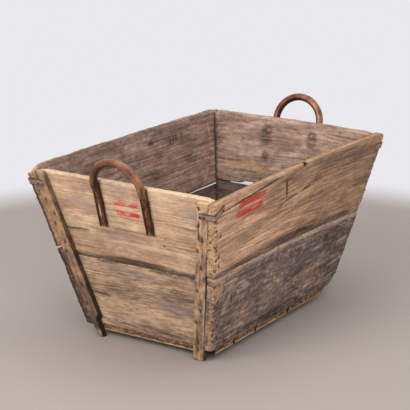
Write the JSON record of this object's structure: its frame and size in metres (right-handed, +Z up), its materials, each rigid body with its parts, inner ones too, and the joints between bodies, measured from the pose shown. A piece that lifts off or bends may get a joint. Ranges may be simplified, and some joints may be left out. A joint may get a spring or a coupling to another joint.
{
  "type": "grape harvest crate",
  "caption": "Tapered wooden harvest crate with leaning board walls, corner cleats that form feet, hoop iron corner straps and an arched pipe handle riveted to each end.",
  "frame": {"origin": "on the ground under the middle of the crate", "axes": "+X along the crate's length towards the rear end, +Y to the left side, +Z up"},
  "size_m": [0.7858, 0.4804, 0.452],
  "materials": {
    "end_board_wood": "weathered, bare",
    "side_board_wood": "weathered, bare",
    "cleat_wood": "weathered, bare",
    "plank_wood": "weathered, bare",
    "strap_iron": "rusted",
    "handle_iron": "rusted, worn smooth",
    "rivet_iron": "rusted"
  },
  "bodies": {
    "root": {"front_end_board_upper": "end_board_wood", "front_end_board_lower": "end_board_wood", "rear_end_board_upper": "end_board_wood", "rear_end_board_lower": "end_board_wood", "left_side_board_upper": "side_board_wood", "left_side_board_lower": "side_board_wood", "right_side_board_upper": "side_board_wood", "right_side_board_lower": "side_board_wood", "front_left_corner_cleat": "cleat_wood", "front_right_corner_cleat": "cleat_wood", "rear_left_corner_cleat": "cleat_wood", "rear_right_corner_cleat": "cleat_wood", "bottom_plank_1": "plank_wood", "bottom_plank_2": "plank_wood", "bottom_plank_3": "plank_wood", "bottom_plank_4": "plank_wood", "front_left_corner_strap": "strap_iron", "front_right_corner_strap": "strap_iron", "rear_left_corner_strap": "strap_iron", "rear_right_corner_strap": "strap_iron", "front_handle": "handle_iron", "rear_handle": "handle_iron", "front_handle_rivet_upper_left": "rivet_iron", "front_handle_rove_upper_left": "rivet_iron", "front_handle_rivet_upper_right": "rivet_iron", "front_handle_rove_upper_right": "rivet_iron", "front_handle_rivet_lower_left": "rivet_iron", "front_handle_rove_lower_left": "rivet_iron", "front_handle_rivet_lower_right": "rivet_iron", "front_handle_rove_lower_right": "rivet_iron", "rear_handle_rivet_upper_left": "rivet_iron", "rear_handle_rove_upper_left": "rivet_iron", "rear_handle_rivet_upper_right": "rivet_iron", "rear_handle_rove_upper_right": "rivet_iron", "rear_handle_rivet_lower_left": "rivet_iron", "rear_handle_rove_lower_left": "rivet_iron", "rear_handle_rivet_lower_right": "rivet_iron", "rear_handle_rove_lower_right": "rivet_iron"}
  },
  "joints": []
}
